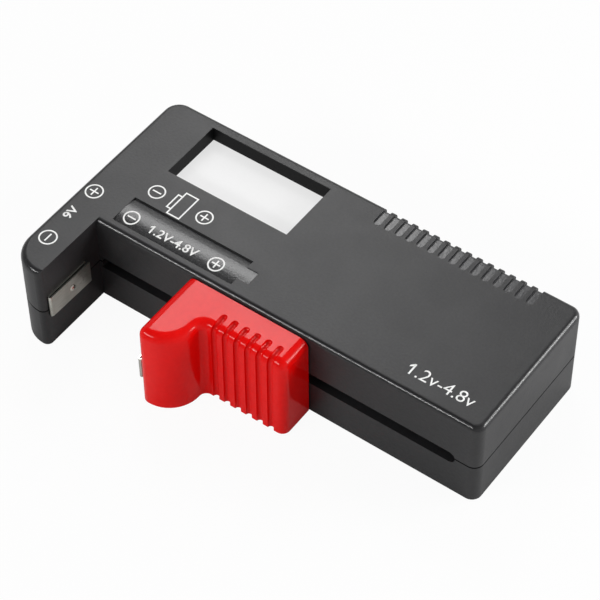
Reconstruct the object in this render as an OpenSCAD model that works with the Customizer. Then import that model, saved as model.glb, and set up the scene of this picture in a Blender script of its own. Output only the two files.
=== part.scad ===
// Pocket battery tester: an L-shaped case with a fixed arm, a sliding red jaw in
// a slot along its front, and a display under the top shell.
// Each piece is drawn in case coordinates: x from the left end, y from the back
// face (negative towards the front), z from the base. in_case() then moves it to
// the part's own frame, whose origin is the middle of the base of the whole box.

/* [Case] */
// Length of the case from its left end to its right end
case_length = 110; // [108:0.5:125]
// Depth over the arm, from the back face to the arm's tip
case_depth = 59.8; // [59:0.2:68]
// Depth of the main body, from the back face to the slotted front face
body_depth = 40.4; // [40:0.2:41]
// Height of the case
case_height = 24.5; // [24:0.5:32]
// Width of the fixed arm
arm_width = 9.3; // [9:0.1:12]
// Wall thickness of both shells
wall = 2; // [1.8:0.1:2.3]
// Height at which the two shells meet
parting_height = 11.2; // [10.6:0.1:11.8]
// Rounding of the top shell's outer edges
edge_radius = 1.4; // [0.8:0.1:1.8]
// Depth of the vee where the shells meet
seam_depth = 0.12; // [0.05:0.01:0.2]
// Chamfer round the base
base_chamfer = 0.1; // [0.05:0.05:0.6]
// Plan radius of the arm's outer tip
tip_radius = 7.7; // [6:0.1:9]
// Plan radius of the arm's inner tip corner
inner_tip_radius = 1.5; // [1.4:0.1:2]
// Plan radius of the back left corner
back_left_radius = 4; // [3:0.5:5]
// Plan radius of the back right corner
back_right_radius = 2.8; // [2.4:0.1:4]
// Plan radius of the front right corner
front_right_radius = 2.4; // [2.2:0.1:4]

/* [Display] */
// Left edge of the window, from the left end
window_left = 13; // [12.6:0.1:14]
// Length of the window
window_length = 32.9; // [30:0.1:34]
// Width of the window, front to back
window_width = 16.7; // [14:0.1:17]
// Back edge of the window, from the back face
window_back = 2.8; // [2.8:0.1:3.4]
// Depth of the display below the top face
window_depth = 4; // [3.6:0.1:4.6]
// Thickness of the window's well wall
well_wall = 0.7; // [0.5:0.1:0.8]
// How far the display runs on under the window's edge
glass_margin = 1.1; // [1:0.1:1.4]
// Thickness of the pair of display glasses
glass_thickness = 2; // [1.6:0.1:2.4]
// Thickness of each film on the glass
film_thickness = 0.2; // [0.1:0.05:0.3]
// Height of the rubber connector under the glass
zebra_height = 3.5; // [3:0.1:4.2]
// Wall of the frame that holds the glass
frame_wall = 0.9; // [0.8:0.1:1.1]

/* [Cell relief] */
// Left end of the cell-shaped relief, from the left end
relief_left = 12.1; // [11:0.1:14]
// Length of the relief's body
relief_length = 32.6; // [28:0.1:34]
// Width of the relief's body
relief_width = 8; // [7:0.1:8.6]
// Length of the relief's end cap
relief_cap_length = 3; // [2:0.1:4]
// Width of the relief's end cap
relief_cap_width = 3.8; // [3:0.1:5]
// Distance from the front face to the relief
relief_margin = 2.4; // [2.1:0.1:3]
// Depth of the relief at its long edges
relief_depth = 0.5; // [0.3:0.05:0.7]

/* [Finger grip] */
// Number of grip grooves over the back edge
grip_count = 15; // [10:1:16]
// Distance from one grip groove to the next
grip_pitch = 2.81; // [2.6:0.01:2.9]
// Width of a grip groove
grip_width = 1.75; // [1.2:0.05:2]
// Depth of a grip groove
grip_depth = 0.5; // [0.4:0.05:1]
// Left side of the first grip groove, from the left end
grip_left = 59.1; // [56:0.1:62]
// Length of a grip groove on the top face
grip_run = 5.8; // [4:0.1:6.4]
// Height of a grip groove's lower end on the back face
grip_low = 14; // [12:0.5:18]

/* [Slider] */
// Gap between the arm and the jaw as the slider stands
test_gap = 26; // [24:0.5:30]
// Travel towards the arm, to a button cell
closing_travel = 22; // [18:0.5:23]
// Length of the slider along the case
slider_length = 31.8; // [30:0.2:33]
// Width of the jaw along the case
jaw_width = 10.05; // [9:0.05:11]
// Distance from the arm's tip back to the jaw's front
jaw_setback = 0.35; // [0.2:0.05:1.4]
// Reach of the finger grip, as a share of the arm's reach
grip_share = 0.478; // [0.45:0.002:0.49]
// Running gap between slider and case
slider_gap = 0.3; // [0.2:0.05:0.5]
// Height of the slider's underside above the base
slider_lift = 0.15; // [0.05:0.05:0.6]
// Drop from the case's top to the slider's top
slider_drop = 0.9; // [0.6:0.1:2]
// Rounding of the slider's top edges
slider_edge = 2.2; // [1.2:0.1:2.4]
// How far the slider's front leans back from its base to its top
slider_draft = 0.25; // [0:0.05:0.4]
// Plan radius of the jaw's inner front corner
jaw_nose_radius = 2.05; // [1.7:0.05:2.4]
// Plan radius of the jaw's outer front corner
jaw_sweep_radius = 7.9; // [5:0.1:8]
// Plan radius of the hollow between the jaw and the grip
hollow_radius = 1.8; // [1.4:0.1:2.6]
// Plan radius of the slider's right corner
heel_radius = 2; // [1.8:0.1:2.6]
// Wall of the hollow jaw
jaw_wall = 2; // [1.6:0.1:2.2]
// Number of flutes in the finger grip
flute_count = 6; // [4:1:6]
// Distance from one flute to the next
flute_pitch = 2.95; // [2.4:0.05:3]
// Radius of a flute
flute_radius = 0.8; // [0.5:0.05:0.9]
// Distance from the hollow to the first flute
flute_start = 1.45; // [1.2:0.05:1.7]
// Run of a flute over the top, from the grip's front
flute_run = 4.8; // [4:0.1:6]

/* [Slot and carriage] */
// Height of the slot's lower edge
slot_base = 9.4; // [9:0.1:9.8]
// Height of the slot
slot_height = 3.2; // [3:0.1:3.4]
// Distance from the arm's inner face to the slot
slot_start = 0.7; // [0.6:0.1:1.2]
// Distance from the slot's right end to the case's right end
slot_margin = 5.6; // [5.2:0.1:8]
// Clearance above and below the tongue in the slot
tongue_gap = 0.35; // [0.25:0.05:0.45]
// Gap left at each stop when the slider is at the end of its travel
stop_gap = 0.4; // [0.3:0.05:0.6]
// Distance from the jaw's face to the tongue
tongue_inset = 0.2; // [0.2:0.05:0.6]
// Distance from the slider's right end to the tongue
tongue_tail = 1.6; // [1.2:0.1:2.4]
// Height of the carriage above the tongue
carriage_height = 6.5; // [6:0.1:7]
// Depth of the carriage, front to back
carriage_depth = 5.5; // [5:0.1:6]
// Space between the carriage and the contact rail
rail_space = 2; // [1.8:0.1:2.4]
// Thickness of the rib that holds the contact rail
rib_thickness = 1.4; // [1.2:0.1:1.6]
// Height of the contact rail
rail_height = 5; // [4.6:0.1:5.6]
// Clearance between the wiper's tip and the rail
wiper_gap = 0.1; // [0.05:0.05:0.2]

/* [Contacts] */
// Thickness of the contact strips
strip_thickness = 0.35; // [0.25:0.05:0.4]
// Height of the contact strips
strip_height = 6.1; // [5.8:0.1:6.8]
// Height of the arm's strip above the slot's lower edge, to its centre
arm_strip_rise = 3.1; // [2.6:0.1:3.6]
// Height of the jaw's strip above the slot's lower edge, to its centre
jaw_strip_rise = -0.1; // [-0.1:0.05:0.4]
// Outer radius of the strips' hairpin bend
hairpin_radius = 0.5; // [0.45:0.05:0.6]
// Distance from the arm's tip to the hairpin's centre
hairpin_margin = 2; // [1.8:0.1:2.4]
// Angle by which a relaxed leaf stands open
leaf_angle = 1; // [0.8:0.1:1.6]
// Distance from a leaf's free end to the body's front face
leaf_margin = 4.6; // [4.2:0.1:5]
// Distance from a leaf's free end to its dimple
dimple_setback = 6.1; // [5:0.1:8]
// Radius of the dimple
dimple_radius = 1.1; // [0.8:0.05:1.3]
// Height of the dimple
dimple_height = 0.45; // [0.3:0.05:0.5]
// Distance between the pair of side contacts
snap_pitch = 12.7; // [12.2:0.1:13]
// Distance from the arm's tip to the middle of that pair
snap_place = 17.75; // [17:0.05:19]
// Side of the window in front of a side contact
snap_window = 9; // [8:0.1:9.4]
// Side of a side contact's plate
snap_plate = 11; // [10.4:0.1:11.6]
// Thickness of a side contact's plate
snap_thickness = 0.4; // [0.3:0.05:0.5]
// Height of the side contacts' centre above the slot's lower edge
snap_rise = 2.8; // [2.4:0.1:3.4]

/* [Board] */
// Left edge of the board, from the left end
board_left = 10.2; // [10:0.1:10.6]
// Length of the board
board_length = 51.8; // [51:0.1:56]
// Thickness of the board
board_thickness = 1.2; // [0.8:0.1:1.6]
// Gap between the board and the walls and ribs near it
board_gap = 0.6; // [0.4:0.1:1]
// Diameter of the insulated leads
lead_diameter = 1; // [0.8:0.1:1.2]

/* [Fasteners] */
// Diameter of the case screws' thread
case_screw = 2; // [1.8:0.1:2.2]
// Diameter of the case screws' head
case_screw_head = 4; // [3.6:0.1:4.2]
// Depth of the wells for the case screws
well_depth = 3.4; // [3:0.1:4]
// Distance from the outer faces to a case screw
case_screw_inset = 6.2; // [6:0.1:6.6]
// Diameter of the small screws' thread
small_screw = 1.7; // [1.5:0.1:1.9]
// Diameter of the small screws' head
small_screw_head = 3.4; // [3.2:0.1:3.6]

/* [Hidden] */
$fn = 48;

// Cuts run this far past a face, ribs this far into the wall they stand on, and a seat for
// another piece is this much larger than the piece
past = 1;
root = 0.5;
fit = 0.05;

// Case
front_y = -body_depth;
tip_y = -case_depth;
roof_z = case_height - wall;
inner_front_y = front_y + wall;
arc_steps = 12;
edge_steps = 6;
tip_corner = max(inner_tip_radius, edge_radius + fit);
tip_bend = min(tip_radius, arm_width - tip_corner - fit);

// Slider
jaw_left = arm_width + test_gap;
slider_right = jaw_left + slider_length;
slider_back = front_y - slider_gap;
arm_reach = case_depth - body_depth;
jaw_front = tip_y + jaw_setback;
grip_front = front_y - grip_share * arm_reach;
slider_top = case_height - slider_drop;
jaw_right = jaw_left + jaw_width;
hollow_x = jaw_right + hollow_radius;
hollow_y = grip_front - hollow_radius;
sweep_margin = 0.05;
sweep_radius = min(jaw_sweep_radius, hollow_y - jaw_front - sweep_margin,
    jaw_width - jaw_nose_radius - sweep_margin);
flute_x = hollow_x + flute_start;

// Slot, tongue and carriage
slot_top = slot_base + slot_height;
tongue_base = slot_base + tongue_gap;
tongue_top = slot_top - tongue_gap;
tongue_left = jaw_left + tongue_inset;
tongue_right = slider_right - tongue_tail;
slot_left = arm_width + slot_start;
slot_right = case_length - slot_margin;
carriage_step = 2;
carriage_left = tongue_left + carriage_step;
carriage_right = tongue_right - carriage_step;
carriage_stop = carriage_left - closing_travel - stop_gap;
stop_length = 2;
carriage_front = inner_front_y + slider_gap;
carriage_back = carriage_front + carriage_depth;
carriage_top = tongue_top + carriage_height;
carriage_screw_x = [carriage_left + 9, carriage_right - 4];
carriage_screw_y = (carriage_front + carriage_back) / 2;

// Contact rail on its rib
rail_thickness = 0.4;
rail_front = carriage_back + rail_space;
rib_front = rail_front + rail_thickness;
rib_back = rib_front + rib_thickness;
rib_left = carriage_stop - 1.1;
rib_right = slot_right - 3.4;
rib_base = slot_top - 2.6;
rail_left = rib_left + 1;
rail_right = rib_right - 2;
rail_base = tongue_top + 1.15;
rail_tab_width = 3;
rail_tab_drop = 1.4;
rivet_inset = 5.5;
rivet_radius = 0.8;
rivet_head = 1.3;
rivet_head_height = 0.4;
tab_left = jaw_left + jaw_wall + 0.2;
tab_right = jaw_right - jaw_wall - 0.2;
wiper_left = tab_right;
wiper_right = wiper_left + 15.5;
wiper_inset = 0.5;
wiper_base = rail_base + wiper_inset;
wiper_height = rail_height - 2 * wiper_inset;
wiper_thickness = 0.25;
wiper_screw_length = 1.8;
wiper_screw_x = [wiper_left + 2, wiper_right - 2];
wiper_tip_x = (wiper_left + wiper_right) / 2 + 1;

// Contact strips
arm_strip_z = slot_base + arm_strip_rise;
jaw_strip_z = slot_base + jaw_strip_rise;
hairpin_y = tip_y + hairpin_margin;
leaf_length = arm_reach - hairpin_margin - leaf_margin;
dimple_place = leaf_length - dimple_setback;
leg_y = hairpin_y + leaf_length - 2 * strip_thickness;
tail_length = 6.5;
tail_height = 3;
tail_stand = 0.55;
snap_y = tip_y + snap_place;
snap_z = slot_base + snap_rise;

// Display stack, from the top down
lcd_top = case_height - window_depth;
lcd_left = window_left - glass_margin;
lcd_right = window_left + window_length + glass_margin;
lcd_front = -window_back - window_width - glass_margin;
lcd_back = -wall - 0.3;
glass_top = lcd_top - film_thickness;
glass_base = glass_top - glass_thickness;
zebra_top = glass_base;
board_top = zebra_top - zebra_height;
board_base = board_top - board_thickness;
board_right = board_left + board_length;
board_front = rib_back + board_gap + 0.4;
board_back = -wall - board_gap;
frame_gap = 0.1;
frame_front = lcd_front - frame_gap - frame_wall;
zebra_width = 2;

// Fasteners
screw_places = [
    [case_screw_inset, -case_screw_inset],
    [case_length - case_screw_inset, -case_screw_inset],
    [case_length - case_screw_inset, rib_back + 3],
    [case_screw_inset, rib_back + 2]
];
boss_radius = case_screw / 2 + 1.6;
column_radius = case_screw_head / 2 + 1;
case_screw_length = 12;
case_head_height = 1.4;
board_screw_places = [
    [lcd_right + frame_wall + 5, -6.5],
    [lcd_right + frame_wall + 5, board_front + 3.4],
    [rail_left + 6, board_front + 2.6]
];
board_boss_radius = small_screw / 2 + 1.1;
small_head_height = 1.1;
board_screw_length = 6;

// Leads: where each meets the board, and how far its solder stands below it
pad_x = board_left + 2.1;
pad_pitch = 3.4;
pad_height = 0.5;
pad_radius = 0.9;
lead_radius = lead_diameter / 2;

function unit(v) = v / norm(v);
function arc(c, r, a0, a1, n) = [for (i = [0:n]) let (a = a0 + (a1 - a0) * i / n) c + r * [cos(a), sin(a)]];

// Outline of the case, pulled in by inset except along the arm's inner face
tip_steps = 6;
function tip_arc(inset) = [for (i = [0:tip_steps])
    let (a = 90 * i / tip_steps, reach = tip_corner - inset)
    [arm_width - tip_corner * (1 - sin(a)), tip_y + tip_corner - reach * cos(a)]];
function case_outline(inset) = concat(
    arc([tip_bend, tip_y + tip_bend], tip_bend - inset, 180, 270, arc_steps),
    tip_arc(inset),
    [[arm_width, front_y + inset]],
    arc([case_length - front_right_radius, front_y + front_right_radius], front_right_radius - inset,
        270, 360, arc_steps),
    arc([case_length - back_right_radius, -back_right_radius], back_right_radius - inset, 0, 90, arc_steps),
    arc([back_left_radius, -back_left_radius], back_left_radius - inset, 90, 180, arc_steps),
    [[inset, front_y + 2 * wall]]
);

// Outline of the space inside the walls, with its left wall straight as far as the side contacts
snap_end = snap_y - (snap_pitch + snap_plate) / 2 - 2 * fit;
bend_start = asin(max(tip_y + tip_bend - snap_end, 0) / (tip_bend - wall));
function cavity_outline() = concat(
    [[wall, snap_end]],
    arc([tip_bend, tip_y + tip_bend], tip_bend - wall, 180 + bend_start, 255, arc_steps),
    [[arm_width - wall, tip_y + wall + 0.25], [arm_width - wall, inner_front_y],
     [case_length - wall, inner_front_y], [case_length - wall, -wall]],
    arc([back_left_radius, -back_left_radius], back_left_radius - wall, 90, 180, arc_steps)
);

// Outline of the slider, pulled in by inset except along its back, and with its front moved back by
// lean; a corner whose radius the inset uses up keeps a small one
small_radius = 0.2;
function left_over(radius, inset) = max(radius - inset, small_radius);
function slider_outline(inset, lean) =
    let (nose = left_over(jaw_nose_radius, inset), heel = left_over(heel_radius, inset))
    concat(
        arc([jaw_left + inset + nose, jaw_front + lean + inset + nose], nose, 180, 270, arc_steps),
        arc([jaw_right - sweep_radius, jaw_front + lean + sweep_radius], sweep_radius - inset,
            270, 360, arc_steps),
        arc([hollow_x, hollow_y + lean], hollow_radius + inset, 180, 90, arc_steps),
        arc([slider_right - inset - heel, grip_front + lean + inset + heel], heel, 270, 360, arc_steps),
        [[slider_right - inset, slider_back], [jaw_right - inset, slider_back],
         [jaw_left + inset, slider_back]]
    );
function lean_at(z) = slider_draft * (z - slider_lift) / (slider_top - slider_lift);

// Convex shares of those two outlines, as runs of their points, for the ends of a loft
function run(a, b) = [for (i = [a:b]) i];
case_caps = let (n = arc_steps, corner = n + 2 + tip_steps, last = corner + 3 * n + 4)
    [concat(run(0, corner), [last]), run(corner, last)];
slider_caps = let (n = arc_steps) concat(
    [concat(run(0, 2 * n + 2), [4 * n + 5, 4 * n + 6]), run(3 * n + 2, 4 * n + 5)],
    [for (i = [0:n - 1]) [2 * n + 2 + i, 2 * n + 3 + i, 4 * n + 5]]
);

// A solid with a flat base and a rounded top edge: rings are [height, inset]
function rounded_rings(base, chamfer, top, radius) = concat(
    chamfer > 0 ? [[base, chamfer]] : [],
    [[base + chamfer, 0]],
    [for (i = [0:edge_steps]) let (a = 90 * i / edge_steps)
        [top - radius + radius * sin(a), radius * (1 - cos(a))]]
);

function backwards(list) = [for (i = [len(list) - 1:-1:0]) list[i]];

module loft(outlines, heights, caps) {
    count = len(outlines[0]);
    last = len(heights) - 1;
    points = [for (k = [0:last]) for (p = outlines[k]) [p[0], p[1], heights[k]]];
    sides = [for (k = [0:last - 1]) for (i = [0:count - 1]) let (j = (i + 1) % count)
        [k * count + i, (k + 1) * count + i, (k + 1) * count + j, k * count + j]];
    top = [for (c = caps) backwards([for (i = c) last * count + i])];
    polyhedron(points, concat(caps, sides, top));
}

// Round tube along a path, each ring's frame carried on from the ring before
function carry(tangents, n, i = 0) = i == len(tangents) ? [] :
    let (m = unit(n - tangents[i] * (n * tangents[i]))) concat([m], carry(tangents, m, i + 1));
function tangents(path) = [for (i = [0:len(path) - 1])
    unit(path[min(i + 1, len(path) - 1)] - path[max(i - 1, 0)])];

module tube(path, radii, sides, side_vector) {
    along = tangents(path);
    across = carry(along, side_vector);
    last = len(path) - 1;
    points = [for (i = [0:last]) for (k = [0:sides - 1]) let (a = 360 * k / sides)
        path[i] + radii[i] * (cos(a) * across[i] + sin(a) * cross(along[i], across[i]))];
    walls = [for (i = [0:last - 1]) for (k = [0:sides - 1]) let (j = (k + 1) % sides)
        [i * sides + k, (i + 1) * sides + k, (i + 1) * sides + j, i * sides + j]];
    start = [for (k = [0:sides - 1]) k];
    end = [for (k = [sides - 1:-1:0]) last * sides + k];
    polyhedron(points, concat([start], walls, [end]));
}

// Point on a smooth curve through the points p, a share t of the way from p[i] to p[i + 1]
function between(p, i, t) =
    let (a = p[max(i - 1, 0)], b = p[i], c = p[i + 1], d = p[min(i + 2, len(p) - 1)])
    0.5 * (2 * b + (c - a) * t + (2 * a - 5 * b + 4 * c - d) * t * t + (3 * b - a - 3 * c + d) * t * t * t);
function smooth(p, steps) = concat(
    [for (i = [0:len(p) - 2]) for (s = [0:steps - 1]) between(p, i, s / steps)], [p[len(p) - 1]]);

module in_case() {
    translate([-case_length / 2, case_depth / 2, 0]) children();
}

module box(x0, x1, y0, y1, z0, z1) {
    translate([x0, y0, z0]) cube([x1 - x0, y1 - y0, z1 - z0]);
}

// Level stretch of a contact leg, from x0 to x1 and z0 to z1
module leg_box(x0, x1, z0, z1, gap) {
    box(x0 - gap, x1 + gap, leg_y - gap, leg_y + strip_thickness + gap, z0 - gap, z1 + gap);
}

module arm_leg(gap) {
    leg_box(arm_width - wall - tail_stand, arm_width, arm_strip_z - strip_height / 2,
        arm_strip_z + strip_height / 2, gap);
}

// Windows in the left end for the pair of side contacts
module snap_windows() {
    r = 1;
    s = snap_window / 2 - r;
    for (side = [-1, 1]) translate([-past, snap_y + side * snap_pitch / 2, snap_z]) rotate([90, 0, 90])
        linear_extrude(wall + 2 * past) polygon(concat(
            arc([s, s], r, 0, 90, 6), arc([-s, s], r, 90, 180, 6),
            arc([-s, -s], r, 180, 270, 6), arc([s, -s], r, 270, 360, 6)));
}

// One grip groove, at its left side x
module grip_groove(x) {
    half = grip_width / 2;
    core = max(edge_radius - grip_depth, 0.2);
    floor_z = case_height - grip_depth;
    translate([x + half, 0, 0]) intersection() {
        translate([-half, 0, 0]) rotate([90, 0, 90]) linear_extrude(grip_width) polygon(concat(
            [[past, grip_low], [past, case_height + past], [-grip_run, case_height + past],
             [-grip_run, floor_z]],
            arc([-grip_depth - core, floor_z - core], core, 90, 0, 4),
            [[-grip_depth, grip_low]]));
        linear_extrude(case_height + past) polygon(concat(
            [[half, past], [-half, past]], arc([0, -grip_run + half], half, 180, 360, 10)));
    }
}

// The cell-shaped relief: a shallow pocket whose floor is a cylinder with its crest just under the top face
module relief_pocket() {
    crest_drop = 0.04;
    body = relief_width / 2;
    cap = relief_cap_width / 2;
    relief_end = relief_length + relief_cap_length;
    radius = (body * body + relief_depth * relief_depth) / (2 * relief_depth);
    translate([relief_left, front_y + relief_margin + body, 0]) difference() {
        translate([0, 0, case_height - relief_depth]) linear_extrude(relief_depth + past) polygon([
            [0, -body], [relief_length, -body], [relief_length, -cap], [relief_end, -cap],
            [relief_end, cap], [relief_length, cap], [relief_length, body], [0, body]]);
        translate([-past, 0, case_height - radius - crest_drop]) rotate([0, 90, 0])
            cylinder(r = radius, h = relief_end + 2 * past, $fn = 360);
    }
}

// Slot for the slider's tongue; the shells meet part way up it
module slot_cut() {
    r = slot_height / 2;
    translate([0, inner_front_y + fit, 0]) rotate([90, 0, 0]) linear_extrude(wall + past) polygon(concat(
        [[slot_left, slot_base]], arc([slot_right - r, slot_base + r], r, -90, 90, 8),
        [[slot_left, slot_top]]));
}

module top_shell() {
    rings = concat([[parting_height, seam_depth], [parting_height + 2 * seam_depth, 0]],
        rounded_rings(parting_height + 3 * seam_depth, 0, case_height, edge_radius));
    color([0.13, 0.13, 0.135]) in_case() difference() {
        union() {
            difference() {
                loft([for (r = rings) case_outline(r[1])], [for (r = rings) r[0]], case_caps);
                translate([0, 0, parting_height - past]) linear_extrude(roof_z - parting_height + past)
                    polygon(cavity_outline());
            }
            // Well round the window, down to the display
            box(window_left - well_wall, window_left + window_length + well_wall,
                -window_back - window_width - well_wall, root - wall, lcd_top, roof_z + root);
            // Stop for the carriage as the jaw closes
            box(carriage_stop - stop_length, carriage_stop, inner_front_y - root, carriage_back - past,
                tongue_top + slot_height, roof_z + root);
            // Rib for the contact rail
            box(rib_left, rib_right, rib_front, rib_back, rib_base, roof_z + root);
            for (p = screw_places) translate([p[0], p[1], parting_height])
                cylinder(r = boss_radius, h = roof_z + root - parting_height);
            for (p = board_screw_places) translate([p[0], p[1], board_top])
                cylinder(r = board_boss_radius, h = roof_z + root - board_top);
        }
        box(window_left, window_left + window_length, -window_back - window_width, -window_back,
            lcd_top - past, case_height + past);
        relief_pocket();
        for (i = [0:grip_count - 1]) grip_groove(grip_left + i * grip_pitch);
        slot_cut();
        snap_windows();
        arm_leg(fit);
        for (p = screw_places) translate([p[0], p[1], parting_height - past])
            cylinder(r = case_screw / 2, h = case_screw_length - wall);
        for (p = board_screw_places) translate([p[0], p[1], board_top - past])
            cylinder(r = small_screw / 2, h = board_screw_length);
        for (x = [rail_left + rivet_inset, rail_right - rivet_inset])
            translate([x, rib_front - past, rail_base + rail_height / 2]) rotate([-90, 0, 0])
                cylinder(r = rivet_radius, h = rib_thickness + 2 * past);
    }
}

// Ledges behind and under the side contact plates
module snap_cradles() {
    ledge = 1.2;
    seat_z = snap_z - snap_plate / 2;
    plate_back = wall + snap_thickness;
    for (side = [-1, 1]) for (edge = [-1, 1])
        translate([0, snap_y + side * snap_pitch / 2 + edge * (snap_plate / 2 - ledge), 0]) {
            box(wall - root, plate_back + ledge, -ledge / 2, ledge / 2, wall - root, seat_z);
            box(plate_back, plate_back + ledge, -ledge / 2, ledge / 2, wall, seat_z + ledge);
        }
}

// Tabs that locate the shells on each other along the back wall
module locating_tabs() {
    reach = 1.4;
    thickness = 1;
    width = 8;
    for (share = [0.3, 0.6, 0.85])
        translate([case_length * share, -wall - thickness, parting_height - 2 * reach]) {
            cube([width, thickness - 2 * fit, 3 * reach]);
            cube([width, thickness + root, 2 * reach]);
        }
}

module bottom_shell() {
    heights = [0, base_chamfer, parting_height - 2 * seam_depth, parting_height];
    insets = [base_chamfer, 0, 0, seam_depth];
    label_depth = 0.3;
    label_margin = 22;
    color([0.11, 0.11, 0.115]) in_case() difference() {
        union() {
            difference() {
                loft([for (i = insets) case_outline(i)], heights, case_caps);
                translate([0, 0, wall]) linear_extrude(parting_height) polygon(cavity_outline());
            }
            for (p = screw_places) translate([p[0], p[1], wall / 2])
                cylinder(r = column_radius, h = parting_height - wall / 2);
            snap_cradles();
            locating_tabs();
        }
        for (p = screw_places) translate([p[0], p[1], -past]) {
            cylinder(r = case_screw_head / 2 + 0.3, h = well_depth + past);
            cylinder(r = case_screw / 2 + 0.2, h = parting_height + 2 * past);
        }
        box(label_margin, case_length - label_margin, front_y + wall + 6, -wall - 6, -past, label_depth);
        slot_cut();
        snap_windows();
        arm_leg(fit);
    }
}

// Pan-head screw that points up, its head's underside at z = 0
module screw(diameter, length, head, head_height) {
    slot_width = diameter / 4;
    cylinder(r = diameter / 2, h = length);
    difference() {
        translate([0, 0, -head_height])
            cylinder(r1 = head / 2 - head_height / 4, r2 = head / 2, h = head_height);
        for (turn = [0, 90]) rotate([0, 0, turn])
            translate([-head / 3, -slot_width / 2, -head_height - past])
                cube([2 * head / 3, slot_width, past + head_height / 2]);
    }
}

module case_screws() {
    color([0.55, 0.55, 0.56]) in_case() for (p = screw_places) translate([p[0], p[1], well_depth])
        screw(case_screw - 2 * fit, case_screw_length, case_screw_head, case_head_height);
}

module lcd_polariser() {
    color([0.86, 0.87, 0.86]) in_case() box(lcd_left + 0.3, lcd_right - 0.3, lcd_front + 0.3,
        lcd_back - 0.2, glass_top, lcd_top);
}

// Front glass over a shorter rear glass, which leaves a ledge for the rubber connector
module lcd_glass() {
    ledge = zebra_width + 0.4;
    color([0.75, 0.8, 0.8]) in_case() union() {
        box(lcd_left, lcd_right, lcd_front, lcd_back, glass_base + glass_thickness / 2, glass_top);
        box(lcd_left, lcd_right, lcd_front + ledge, lcd_back, glass_base, glass_top);
    }
}

module lcd_reflector() {
    color([0.8, 0.8, 0.78]) in_case() box(lcd_left + 1, lcd_right - 1, lcd_front + zebra_width + 1.4,
        lcd_back - 1, glass_base - film_thickness, glass_base);
}

// Three-sided frame on the board; the case's back wall closes the fourth side
module lcd_frame() {
    seat = 0.7;
    color([0.88, 0.88, 0.86]) in_case() difference() {
        box(lcd_left - frame_gap - frame_wall, lcd_right + frame_gap + frame_wall, frame_front, lcd_back,
            board_top, glass_top);
        box(lcd_left - frame_gap, lcd_right + frame_gap, lcd_front - frame_gap, lcd_back + past,
            glass_base, glass_top + past);
        box(lcd_left + seat, lcd_right - seat, lcd_front - frame_gap, lcd_back + past,
            board_top - past, glass_top + past);
    }
}

module zebra_strip() {
    color([0.35, 0.35, 0.37]) in_case() box(lcd_left + 2, lcd_right - 2, lcd_front + 0.1,
        lcd_front + 0.1 + zebra_width, board_top, glass_base + glass_thickness / 2);
}

module circuit_board() {
    color([0.1, 0.38, 0.2]) in_case() difference() {
        box(board_left, board_right, board_front, board_back, board_base, board_top);
        for (p = board_screw_places) translate([p[0], p[1], board_base - past])
            cylinder(r = small_screw / 2 + 0.2, h = board_thickness + 2 * past);
    }
}

// Dome of set resin over the controller die, on the board's underside
module controller_blob() {
    radius = 5;
    height = 1.5;
    sphere_radius = (radius * radius + height * height) / (2 * height);
    color([0.05, 0.05, 0.055]) in_case() translate([lcd_left + 17, -11, board_base]) intersection() {
        translate([0, 0, sphere_radius - height]) sphere(r = sphere_radius);
        translate([-radius - past, -radius - past, -height - past])
            cube([2 * (radius + past), 2 * (radius + past), height + past]);
    }
}

// Small moulded package under the board, with a row of legs on each long side
module package(x, y, length, width, height, legs) {
    leg_width = 0.4;
    leg_reach = 0.6;
    translate([x - length / 2, y - width / 2, board_base - height]) cube([length, width, height]);
    for (i = [0:legs - 1]) for (side = [-1, 1])
        translate([x - length / 2 + length * (i + 0.5) / legs - leg_width / 2,
            side > 0 ? y + width / 2 : y - width / 2 - leg_reach, board_base - leg_width])
            cube([leg_width, leg_reach, leg_width]);
}

module boost_chip() {
    color([0.07, 0.07, 0.07]) in_case() package(lcd_right - 5, -8, 2.9, 1.6, 1.1, 3);
}

module rectifier_diode() {
    color([0.08, 0.08, 0.08]) in_case() package(lcd_right - 5, -13.5, 4.3, 2.6, 1.9, 1);
}

inductor_radius = 3;
inductor_flange = 0.7;
inductor_height = 4;
inductor_core = 1.6;
inductor_place = [lcd_right + 6, -15.5, board_base - inductor_height];

module boost_inductor() {
    r = inductor_radius;
    core = inductor_core;
    low = inductor_flange;
    high = inductor_height - inductor_flange;
    color([0.22, 0.21, 0.2]) in_case() translate(inductor_place) rotate_extrude() polygon([
        [0, 0], [r, 0], [r, low], [core, low], [core, high], [r, high],
        [r, inductor_height], [0, inductor_height]]);
}

module inductor_winding() {
    color([0.72, 0.35, 0.15]) in_case() translate(inductor_place) difference() {
        translate([0, 0, inductor_flange])
            cylinder(r = inductor_radius - 0.4, h = inductor_height - 2 * inductor_flange);
        cylinder(r = inductor_core, h = inductor_height);
    }
}

module storage_capacitor() {
    radius = 2.5;
    height = 5.4;
    score = 0.3;
    color([0.75, 0.75, 0.76]) in_case() translate([lcd_left + 30, -20.5, board_base - height])
        difference() {
            cylinder(r = radius, h = height);
            for (turn = [0, 90]) rotate([0, 0, turn]) translate([-radius / 2, -score / 2, -past])
                cube([radius, score, past + score / 2]);
        }
}

module load_resistor() {
    radius = 1.2;
    half = 3.2;
    lead = 0.3;
    span = 5;
    color([0.3, 0.5, 0.55]) in_case() translate([lcd_left + 15, -19.5, board_base - radius - 0.4]) {
        rotate([0, 90, 0]) cylinder(r = radius, h = 2 * half, center = true);
        for (side = [-1, 1]) {
            rotate([0, side * 90, 0]) cylinder(r = lead, h = span);
            translate([side * (span - lead), 0, 0]) cylinder(r = lead, h = radius + 0.4);
        }
    }
}

module chip(x, y, length, width, height) {
    translate([x, y, board_base - height]) cube([length, width, height]);
}

module chip_resistors() {
    color([0.12, 0.12, 0.13]) in_case() for (i = [0:5])
        chip(lcd_left + 4 + i * 3.4, -5, 2, 1.25, 0.5);
}

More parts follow.
